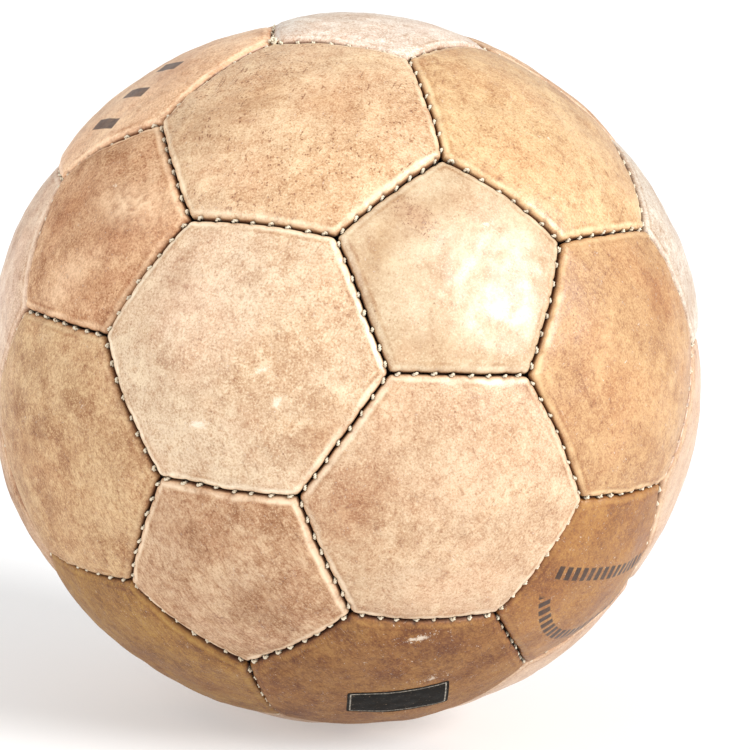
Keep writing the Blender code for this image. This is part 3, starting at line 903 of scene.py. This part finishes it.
def build_thread(panel, seams, material):
    """The stitches round a pentagon, and half of those of each seam that leads away from it."""
    shell = Shell()
    round_it = set(map(id, panel.seams))
    for seam in panel.seams:
        add_cord(shell, lacing_path(seam, 0, STITCHES_PER_SEAM))
    half = STITCHES_PER_SEAM // 2
    reach = math.acos(panel.corners[0] @ panel.middle)
    for seam in seams:
        if id(seam) in round_it:
            continue
        for sign, span in ((-1, (0, half)), (1, (half, STITCHES_PER_SEAM))):
            end = unit(seam.point(sign * seam.length / 2, 0.0, 0.0))
            if abs(math.acos(end @ panel.middle) - reach) < 0.02:
                add_cord(shell, lacing_path(seam, *span))
    if panel.name == "panel_pent_top" or panel.middle[1] > 0:
        place = unit(mix(knot_corner(panel), panel.middle, 0.012)) * (EDGE_RADIUS - 0.0003)
        add_knot(shell, place, panel.middle)
    name = panel.name.replace("panel_pent", "stitches")
    mesh, points, _ = shell.mesh(name)
    # How deep the thread lies below the panels' edges, for its painted shade.
    sunk = (EDGE_RADIUS - np.linalg.norm(points, axis=-1)) * 1000
    add_attribute(mesh, "sunk", sunk)
    put_piece(name, mesh, material, "waxed_thread", "ball", panel.name.replace("panel_pent", "seam_thread"))


INPUT_NAMES = {
    "base": "Base Color",
    "rough": "Roughness",
    "normal": "Normal",
    "coat": "Coat Weight",
    "coat_rough": "Coat Roughness",
    "specular": "Specular IOR Level",
    "glow": "Emission Color",
    "glow_strength": "Emission Strength",
}


class Nodes:
    """A material's nodes, with short ways to add and join them."""

    def __init__(self, name):
        self.material = bpy.data.materials.new(name)
        self.material.use_nodes = True
        self.tree = self.material.node_tree
        self.shader = self.tree.nodes["Principled BSDF"]

    def put(self, socket, value):
        if isinstance(value, bpy.types.NodeSocket):
            self.tree.links.new(value, socket)
        else:
            socket.default_value = value

    def add(self, kind, sockets, **settings):
        node = self.tree.nodes.new(kind)
        for key, value in settings.items():
            setattr(node, key, value)
        for key, value in sockets.items():
            self.put(node.inputs[key], value)
        return node

    def attribute(self, name, output):
        return self.add("ShaderNodeAttribute", {}, attribute_name=name).outputs[output]

    def object_place(self):
        return self.add("ShaderNodeTexCoord", {}).outputs["Object"]

    def vector(self, operation, first, second):
        return self.add("ShaderNodeVectorMath", {0: first, 1: second}, operation=operation).outputs[0]

    def math(self, operation, first, second=0.0):
        return self.add("ShaderNodeMath", {0: first, 1: second}, operation=operation).outputs[0]

    def times(self, first, second):
        return self.math("MULTIPLY", first, second)

    def noise(self, place, size, detail=3.0, roughness=0.55):
        """A field about 0.5, between 0 and 1, with features of a size in metres."""
        sockets = {"Vector": place, "Scale": 1 / size, "Detail": detail, "Roughness": roughness}
        return self.add("ShaderNodeTexNoise", sockets).outputs[0]

    def spread(self, value, low, high, to_low=0.0, to_high=1.0):
        """The value stretched from one range to another, and kept inside it."""
        sockets = {0: value, 1: low, 2: high, 3: to_low, 4: to_high}
        return self.add("ShaderNodeMapRange", sockets).outputs[0]

    def blend(self, amount, base, other, mode="MIX"):
        node = self.add("ShaderNodeMix", {0: amount, 6: base, 7: other}, data_type="RGBA", blend_type=mode)
        return node.outputs[2]

    def parts(self, vector):
        return self.add("ShaderNodeSeparateXYZ", {"Vector": vector}).outputs

    def band(self, value, middle, half_width, softness):
        """1 where a value is near the middle, 0 where it is further than the half-width."""
        away = self.math("ABSOLUTE", self.math("SUBTRACT", value, middle))
        return self.spread(away, half_width - softness, half_width, 1.0, 0.0)

    def bump(self, height, depth, strength):
        sockets = {"Height": height, "Distance": depth, "Strength": strength}
        return self.add("ShaderNodeBump", sockets).outputs[0]

    def dyed(self, amount, base, *tint):
        """The base multiplied by a tint, as much as the amount says."""
        return self.blend(amount, base, colour(*tint), "MULTIPLY")

    def surface(self, **values):
        """Sets the shader's inputs, by their short names."""
        for key, value in values.items():
            self.put(self.shader.inputs[INPUT_NAMES[key]], value)


def colour(red, green, blue):
    return (red, green, blue, 1.0)


PALER = colour(1.15, 1.20, 1.20)


def dashes(nodes, place, turn, spacing, stretch, size, fray):
    """Straight thin frayed dashes in one direction, stretch times as long as they are wide."""
    mapping = nodes.add(
        "ShaderNodeMapping",
        {"Vector": place, "Rotation": turn, "Scale": (stretch, 1.0, 1.0)},
        vector_type="TEXTURE",
    ).outputs[0]
    cells = nodes.add("ShaderNodeTexVoronoi", {"Vector": mapping, "Scale": 1 / spacing}).outputs
    chance = nodes.parts(cells["Color"])[0]
    reach = nodes.times(nodes.math("ADD", chance, 0.35), size)
    reach = nodes.times(reach, nodes.spread(fray, 0.35, 0.65, 0.1, 1.5))
    inside = nodes.math("SUBTRACT", reach, cells["Distance"])
    return nodes.spread(inside, 0.0, size * 0.3)


def bent(nodes, place, size, amount):
    """The place moved about a little, so that straight lines bend."""
    field = nodes.add("ShaderNodeTexNoise", {"Vector": place, "Scale": 1 / size, "Detail": 1.0}).outputs[1]
    centred = nodes.vector("SUBTRACT", field, (0.5, 0.5, 0.5))
    return nodes.vector("ADD", place, nodes.vector("MULTIPLY", centred, (amount, amount, amount)))


def hide_colour(nodes, place, tint, nap):
    """The hide's own colour: clouds and blotches from 50 mm across down to fibres and pores."""
    broad = nodes.noise(place, 0.045, 2.0)
    cloud = nodes.noise(nodes.vector("ADD", place, (3.0, 1.0, 2.0)), 0.026, 3.0)
    blotch = nodes.noise(place, 0.015, 6.0, 0.66)
    patch = nodes.noise(nodes.vector("ADD", place, (7.0, 4.0, 1.0)), 0.009, 6.0, 0.68)
    mottle = nodes.noise(place, 0.0028, 5.0, 0.74)
    grain = nodes.noise(place, 0.00060, 3.0, 0.7)
    brushed = nodes.add(
        "ShaderNodeMapping",
        {"Vector": place, "Rotation": (0.5, 0.8, 0.4), "Scale": (5.0, 1.0, 1.0)},
        vector_type="TEXTURE",
    )
    hair = nodes.noise(brushed.outputs[0], 0.0008, 3.0, 0.7)
    pale = nodes.blend(1.0, tint, PALER, "MULTIPLY")

    dyed = nodes.noise(nodes.vector("ADD", place, (5.0, 8.0, 2.0)), 0.022, 6.0, 0.72)
    dye = nodes.times(nodes.spread(dyed, 0.45, 0.62), nodes.spread(nap, 0.0, 1.0, 0.30, 1.0))
    shade = nodes.dyed(nodes.spread(broad, 0.48, 0.64, 0.0, 0.6), tint, 0.80, 0.66, 0.52)
    shade = nodes.dyed(nodes.spread(cloud, 0.46, 0.64, 0.0, 0.6), shade, 1.0, 0.88, 0.82)
    shade = nodes.dyed(dye, shade, 0.60, 0.45, 0.31)
    shade = nodes.blend(nodes.spread(patch, 0.50, 0.66, 0.0, 0.75), shade, pale)
    shade = nodes.dyed(nodes.spread(blotch, 0.52, 0.70, 0.0, 0.7), shade, 0.74, 0.59, 0.47)
    rough = nodes.spread(nap, 0.0, 0.1, 0.45, 1.0)
    freckle = nodes.times(nodes.spread(mottle, 0.50, 0.68, 0.0, 0.9), rough)
    shade = nodes.dyed(freckle, shade, 0.76, 0.62, 0.51)
    shade = nodes.blend(nodes.spread(mottle, 0.30, 0.46, 0.6, 0.0), shade, pale)
    pores = nodes.times(nodes.spread(grain, 0.50, 0.66, 0.0, 0.8), rough)
    shade = nodes.dyed(pores, shade, 0.70, 0.56, 0.44)
    shade = nodes.blend(nodes.spread(grain, 0.34, 0.47, 0.7, 0.0), shade, pale)
    fuzz = nodes.times(nodes.spread(hair, 0.46, 0.64), nodes.spread(nap, 0.0, 1.0, 0.15, 0.9))
    shade = nodes.dyed(fuzz, shade, 0.68, 0.54, 0.42)
    return shade, blotch, patch, mottle, grain


def ink_cover(nodes):
    """A half-round stamp of short strokes with a straight row across it, and a row of solid bars."""
    along, across, kind = nodes.parts(nodes.attribute("ink_place", "Vector"))
    flat = nodes.add("ShaderNodeCombineXYZ", {0: along, 1: across}).outputs[0]
    radius = nodes.add("ShaderNodeVectorMath", {0: flat}, operation="LENGTH").outputs["Value"]
    angle = nodes.math("ARCTAN2", across, along)
    arc = nodes.times(nodes.band(radius, 32.0, 2.3, 0.4), nodes.spread(across, -15.0, -16.0))
    arc_strokes = nodes.math("SINE", nodes.times(angle, 56.0))
    arc = nodes.times(arc, nodes.spread(arc_strokes, -0.5, -0.2))
    row = nodes.times(nodes.band(across, -6.5, 2.5, 0.4), nodes.band(along, -3.0, 26.0, 0.5))
    row_strokes = nodes.math("SINE", nodes.times(along, 1.8))
    row = nodes.times(row, nodes.spread(row_strokes, -0.5, -0.2))
    stamp = nodes.times(nodes.math("MAXIMUM", arc, row), nodes.band(kind, 1.0, 0.5, 0.1))
    spaced = nodes.math("PINGPONG", nodes.math("ADD", along, 14.0), 7.0)
    bars = nodes.times(nodes.band(spaced, 0.0, 2.4, 0.4), nodes.band(across, 0.0, 7.0, 0.4))
    bars = nodes.times(bars, nodes.band(along, 0.0, 18.0, 0.5))
    bars = nodes.times(bars, nodes.band(kind, 2.0, 0.5, 0.1))
    return nodes.math("MAXIMUM", stamp, bars)


def worn(nodes, place, shade, fibres):
    """Scuffs, smudges and stains, with ragged edges."""
    scuff, smudge, stain = nodes.parts(nodes.attribute("wear", "Vector"))
    ragged = nodes.noise(place, 0.0022, 4.0, 0.75)
    stained = nodes.times(stain, nodes.spread(ragged, 0.30, 0.60, 0.5, 1.0))
    shade = nodes.dyed(stained, shade, 0.76, 0.61, 0.49)
    shade = nodes.dyed(nodes.times(smudge, 0.7), shade, 0.82, 0.66, 0.60)
    frayed = nodes.math("MAXIMUM", fibres, nodes.spread(ragged, 0.52, 0.64, 0.0, 0.6))
    rubbed_and_highlight = nodes.times(nodes.spread(smudge, 0.15, 0.55), frayed)
    shade = nodes.dyed(rubbed_and_highlight, shade, 0.50, 0.34, 0.29)
    streaks = nodes.math("ADD", nodes.times(fibres, 0.5), nodes.spread(ragged, 0.3, 0.7, -0.4, 0.4))
    edge = nodes.math("ADD", scuff, streaks)
    return nodes.blend(nodes.spread(edge, 0.52, 0.85, 0.0, 0.6), shade, colour(0.90, 0.80, 0.66))


def leather_material():
    """Vegetable-tanned leather: blotched, brushed, scratched, rubbed pale along its edges, with painted
    highlights on pale edges and patches, and painted shade in and beside the seams.
    """
    nodes = Nodes("leather_hide")
    place = nodes.vector("ADD", nodes.object_place(), nodes.attribute("panel_offset", "Vector"))
    tint = nodes.attribute("panel_tint", "Color")
    nap = nodes.attribute("panel_tint", "Alpha")
    distance = nodes.attribute("seam_distance", "Fac")
    shade, blotch, patch, mottle, grain = hide_colour(nodes, place, tint, nap)

    curved = bent(nodes, place, 0.020, 0.006)
    long_marks = nodes.math(
        "MAXIMUM",
        dashes(nodes, curved, (0.0, 1.05, 0.2), 0.0010, 26.0, 0.25, mottle),
        dashes(nodes, curved, (0.5, -0.50, 1.2), 0.0011, 24.0, 0.21, mottle),
    )
    marks = nodes.times(long_marks, nodes.attribute("scratched", "Fac"))
    fibres = nodes.math(
        "MAXIMUM",
        dashes(nodes, curved, (0.3, 0.80, 0.5), 0.00050, 8.0, 0.28, grain),
        dashes(nodes, curved, (1.0, -0.60, 0.9), 0.00055, 7.0, 0.28, grain),
    )
    shade = nodes.dyed(nodes.times(fibres, 0.40), shade, 0.66, 0.50, 0.39)
    shade = nodes.dyed(nodes.times(marks, 0.75), shade, 0.42, 0.28, 0.20)
    specks = nodes.add("ShaderNodeTexVoronoi", {"Vector": place, "Scale": 330.0}).outputs["Distance"]
    thin_out = nodes.spread(blotch, 0.48, 0.60)
    speck = nodes.times(nodes.spread(specks, 0.07, 0.12, 0.85, 0.0), thin_out)
    shade = nodes.dyed(speck, shade, 0.46, 0.32, 0.22)
    shade = worn(nodes, place, shade, fibres)

    # Bleached places, partly painted highlights, blended towards a paler copy of the tint.
    pale = nodes.dyed(1.0, tint, 1.30, 1.44, 1.56)
    bleached_and_highlight = nodes.times(nodes.attribute("bleached_and_highlight", "Fac"), nodes.spread(mottle, 0.30, 0.62, 1.0, 0.3))
    shade = nodes.blend(bleached_and_highlight, shade, pale)
    # Pale strips along the welts: rubbed wear, raised on some panels as a painted highlight.
    welt = nodes.attribute("welt", "Fac")
    edge_rub_and_highlight = nodes.times(nodes.spread(welt, 0.02, 0.40), nodes.attribute("rubbed_and_highlight", "Fac"))
    edge_rub_and_highlight = nodes.times(edge_rub_and_highlight, nodes.spread(patch, 0.36, 0.56, 0.1, 1.0))
    shade = nodes.blend(edge_rub_and_highlight, shade, pale)
    # Painted shade: a darker line in the crease about 3 mm from the slot, at the welt's inner edge.
    painted_crease_shade = nodes.times(nodes.band(distance, 3.0, 0.8, 0.7), nodes.spread(blotch, 0.42, 0.58, 0.0, 0.7))
    shade = nodes.dyed(painted_crease_shade, shade, 0.76, 0.62, 0.50)
    inked = nodes.times(ink_cover(nodes), nodes.spread(mottle, 0.40, 0.60, 1.0, 0.85))
    shade = nodes.dyed(inked, shade, 0.09, 0.06, 0.05)
    # Painted shade: brown darkening on the leather within 2 mm of the slot.
    ragged = nodes.spread(mottle, 0.30, 0.60, 0.6, 1.0)
    painted_seam_shade = nodes.times(nodes.spread(distance, 0.6, 1.8, 0.75, 0.0), ragged)
    shade = nodes.dyed(painted_seam_shade, shade, 0.68, 0.50, 0.37)
    # Painted shade: the steep edge inside the slot darkened to near black, and made rougher.
    painted_slot_shade = nodes.spread(distance, 0.28, 0.66, 0.97, 0.0)
    shade = nodes.dyed(painted_slot_shade, shade, 0.26, 0.15, 0.08)
    # Painted shade: darker leather in the stitch holes.
    pit = nodes.times(nodes.attribute("stitch_pit", "Fac"), 0.9)
    shade = nodes.dyed(pit, shade, 0.14, 0.08, 0.05)
    # Painted shade: the flange and the leather's back, inside the slot, darkened to near black.
    buried = nodes.spread(nodes.attribute("buried", "Fac"), 0.0, 0.2)
    shade = nodes.dyed(buried, shade, 0.08, 0.05, 0.03)

    rough = nodes.math("ADD", nodes.spread(blotch, 0.35, 0.65, 0.30, 0.42), nodes.times(nap, 0.34))
    rough = nodes.math("MAXIMUM", rough, nodes.times(painted_slot_shade, 0.9))
    height = nodes.math("ADD", nodes.times(grain, 0.5), nodes.times(mottle, 0.8))
    height = nodes.math("SUBTRACT", height, nodes.times(marks, 0.15))
    height = nodes.times(height, nodes.spread(nap, 0.0, 0.1, 0.5, 1.0))
    normal = nodes.bump(height, 0.00030, 0.6)
    coat = nodes.spread(nap, 0.0, 1.0, 0.38, 0.05)
    nodes.surface(base=shade, rough=rough, normal=normal, coat=coat, coat_rough=0.32)
    return nodes.material


def thread_material():
    """Waxed linen thread: pale, a little dirty, with fine fibres, and painted shade where it sinks into the
    seam.
    """
    nodes = Nodes("thread_waxed_linen")
    place = nodes.object_place()
    dirt = nodes.noise(place, 0.004, 3.0)
    fibre = nodes.noise(place, 0.00025, 2.0)
    shade = nodes.blend(nodes.spread(dirt, 0.5, 0.75), colour(0.74, 0.66, 0.51), colour(0.48, 0.38, 0.26))
    shade = nodes.blend(nodes.spread(fibre, 0.5, 0.7, 0.0, 0.35), shade, colour(0.60, 0.52, 0.40))
    # Painted shade: the thread darkened to near black where it runs more than 1.3 mm below the panels'
    # edges.
    sunk = nodes.spread(nodes.attribute("sunk", "Fac"), 1.3, 2.3, 0.0, 0.97)
    shade = nodes.blend(sunk, shade, colour(0.035, 0.022, 0.014))
    nodes.surface(base=shade, rough=0.55, normal=nodes.bump(fibre, 0.00008, 0.6))
    return nodes.material


def label_material():
    """Black printed foil with a thin pale border, dusty and rubbed."""
    nodes = Nodes("label_black_foil")
    place = nodes.object_place()
    dust = nodes.noise(place, 0.005, 5.0, 0.7)
    flecks = nodes.noise(place, 0.0008, 3.0, 0.7)
    border = nodes.band(nodes.attribute("edge_distance", "Fac"), 1.0, 0.25, 0.1)
    kept = nodes.times(border, nodes.spread(flecks, 0.40, 0.55, 0.9, 0.3))
    dusty = nodes.spread(dust, 0.50, 0.75, 0.0, 0.5)
    shade = nodes.blend(dusty, colour(0.008, 0.007, 0.006), colour(0.04, 0.03, 0.02))
    shade = nodes.blend(kept, shade, colour(0.55, 0.50, 0.42))
    shade = nodes.blend(nodes.spread(flecks, 0.62, 0.72, 0.0, 0.5), shade, colour(0.34, 0.24, 0.16))
    rough = nodes.spread(dust, 0.35, 0.65, 0.5, 0.7)
    nodes.surface(base=shade, rough=rough, specular=0.06, normal=nodes.bump(flecks, 0.00008, 0.5))
    return nodes.material


def rubber_material(name, tone):
    """Dull black-brown rubber with a trace of talc."""
    nodes = Nodes(name)
    place = nodes.object_place()
    talc = nodes.noise(place, 0.006, 4.0, 0.6)
    fine = nodes.noise(place, 0.0006, 2.0)
    shade = nodes.blend(nodes.spread(talc, 0.5, 0.75, 0.0, 0.5), colour(*tone), colour(0.20, 0.18, 0.16))
    nodes.surface(base=shade)
    nodes.surface(rough=nodes.spread(talc, 0.35, 0.65, 0.50, 0.75))
    nodes.surface(normal=nodes.bump(fine, 0.0001, 0.5))
    return nodes.material


def canvas_material():
    """Unbleached canvas: two crossed sets of threads."""
    nodes = Nodes("canvas_plain_weave")
    place = nodes.object_place()
    warp = nodes.add("ShaderNodeTexWave", {"Vector": place, "Scale": 320.0}, bands_direction="X").outputs[1]
    weft = nodes.add("ShaderNodeTexWave", {"Vector": place, "Scale": 320.0}, bands_direction="Y").outputs[1]
    weave = nodes.math("MAXIMUM", warp, weft)
    stain = nodes.noise(place, 0.010, 3.0)
    shade = nodes.blend(weave, colour(0.40, 0.35, 0.27), colour(0.66, 0.60, 0.49))
    shade = nodes.dyed(nodes.spread(stain, 0.5, 0.7, 0.0, 0.4), shade, 0.75, 0.65, 0.5)
    nodes.surface(base=shade)
    nodes.surface(rough=0.9)
    nodes.surface(normal=nodes.bump(weave, 0.0002, 0.7))
    return nodes.material


def build_floor():
    bpy.ops.mesh.primitive_plane_add(size=FLOOR_SIZE, location=(0.0, 0.0, -BALL_RADIUS))
    floor = bpy.context.object
    floor.name = "floor"
    nodes = Nodes("pale_floor")
    nodes.surface(base=colour(0.60, 0.60, 0.60))
    nodes.surface(glow=colour(1.0, 1.0, 1.0))
    nodes.surface(glow_strength=0.36)
    nodes.surface(rough=0.8)
    floor.data.materials.append(nodes.material)


def view_axes(elevation, azimuth, roll):
    """Right, up and back of a camera, from angles in degrees. Azimuth 0 looks along +Y."""
    e, a, r = (math.radians(angle) for angle in (elevation, azimuth, roll))
    back = np.array([math.sin(a) * math.cos(e), -math.cos(a) * math.cos(e), math.sin(e)])
    level = unit(np.cross(UP, back))
    upright = np.cross(back, level)
    right = math.cos(r) * level + math.sin(r) * upright
    return right, np.cross(back, right), back


AMBIENT = 0.58  # light from the white room on the ball, beside the backdrop's full white
KEY_LIGHT = ((0.80, 0.34, 0.50), 28.0, 3.8)  # towards it, its width in degrees, and its power
FILL_LIGHT = ((-0.70, 0.35, 0.62), 50.0, 1.4)
FLOOR_SIZE = 8.0
CAMERA_DISTANCE = 1.54
CAMERA_LENS = 239.4
CAMERA_AIM = (0.00582, -0.00106)  # right of and above the ball's middle, for each metre ahead
CAMERA_AXES = view_axes(elevation=10.29, azimuth=-0.36, roll=4.31)


def build_camera():
    """A long lens near the ground in front, turned a little so that the ball stands left of centre."""
    right, up, back = CAMERA_AXES
    camera = bpy.data.objects.new("camera", bpy.data.cameras.new("camera"))
    bpy.context.scene.collection.objects.link(camera)
    bpy.context.scene.camera = camera
    camera.data.lens = CAMERA_LENS
    camera.data.sensor_width = 36.0
    ahead = unit(-back + CAMERA_AIM[0] * right + CAMERA_AIM[1] * up)
    right = unit(right - (right @ ahead) * ahead)
    up = np.cross(right, ahead)
    turn = Matrix(np.column_stack([right, up, -ahead]).tolist()).to_4x4()
    camera.matrix_world = Matrix.Translation(Vector(back * CAMERA_DISTANCE)) @ turn
    camera.data.clip_start = 0.01
    camera.data.clip_end = 50.0


def add_light(name, toward, softness, power):
    """A far soft light seen along camera axes (right, up, back). Softness is its width, in degrees."""
    right, up, back = CAMERA_AXES
    ray = unit(toward[0] * right + toward[1] * up + toward[2] * back)
    data = bpy.data.lights.new(name, "SUN")
    data.angle = math.radians(softness)
    data.energy = power
    light = bpy.data.objects.new(name, data)
    bpy.context.scene.collection.objects.link(light)
    light.location = Vector(ray)
    light.rotation_mode = "QUATERNION"
    light.rotation_quaternion = Vector(ray).to_track_quat("Z", "Y")


def build_light():
    world = bpy.data.worlds.new("white_studio")
    bpy.context.scene.world = world
    world.use_nodes = True
    nodes, links = world.node_tree.nodes, world.node_tree.links
    backdrop = nodes["Background"]
    backdrop.inputs["Color"].default_value = colour(1.0, 1.0, 1.0)
    strength = nodes.new("ShaderNodeMapRange")
    strength.inputs["To Min"].default_value = AMBIENT
    strength.inputs["To Max"].default_value = 1.0
    links.new(nodes.new("ShaderNodeLightPath").outputs["Is Camera Ray"], strength.inputs["Value"])
    links.new(strength.outputs["Result"], backdrop.inputs["Strength"])
    add_light("key", *KEY_LIGHT)
    add_light("fill", *FILL_LIGHT)
    bpy.context.scene.view_settings.view_transform = "Standard"


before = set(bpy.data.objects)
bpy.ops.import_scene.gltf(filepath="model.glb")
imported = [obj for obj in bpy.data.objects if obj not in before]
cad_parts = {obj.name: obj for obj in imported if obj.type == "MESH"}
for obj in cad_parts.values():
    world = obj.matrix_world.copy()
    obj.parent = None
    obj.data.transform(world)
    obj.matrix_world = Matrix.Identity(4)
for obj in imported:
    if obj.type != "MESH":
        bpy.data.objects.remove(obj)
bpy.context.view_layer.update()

hide = leather_material()
linen = thread_material()
all_panels = ball_panels()
all_seams = find_seams(all_panels)
for each_panel in all_panels:
    build_panel(each_panel, hide)
    if "pent" in each_panel.name:
        build_thread(each_panel, all_seams, linen)

labelled = next(panel for panel in all_panels if panel.name == "panel_hex_bottom_4")
build_label(labelled, label_material())

valve_rubber = rubber_material("rubber_valve", (0.035, 0.03, 0.028))
bladder_rubber = rubber_material("rubber_bladder", (0.06, 0.045, 0.04))
build_valve(next(panel.middle for panel in all_panels if panel.name == "panel_hex_valve"), valve_rubber)
for node_name, finish in (("bladder", bladder_rubber), ("valve_patch", canvas_material())):
    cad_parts[node_name].data.materials.clear()
    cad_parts[node_name].data.materials.append(finish)

build_floor()
build_light()
build_camera()
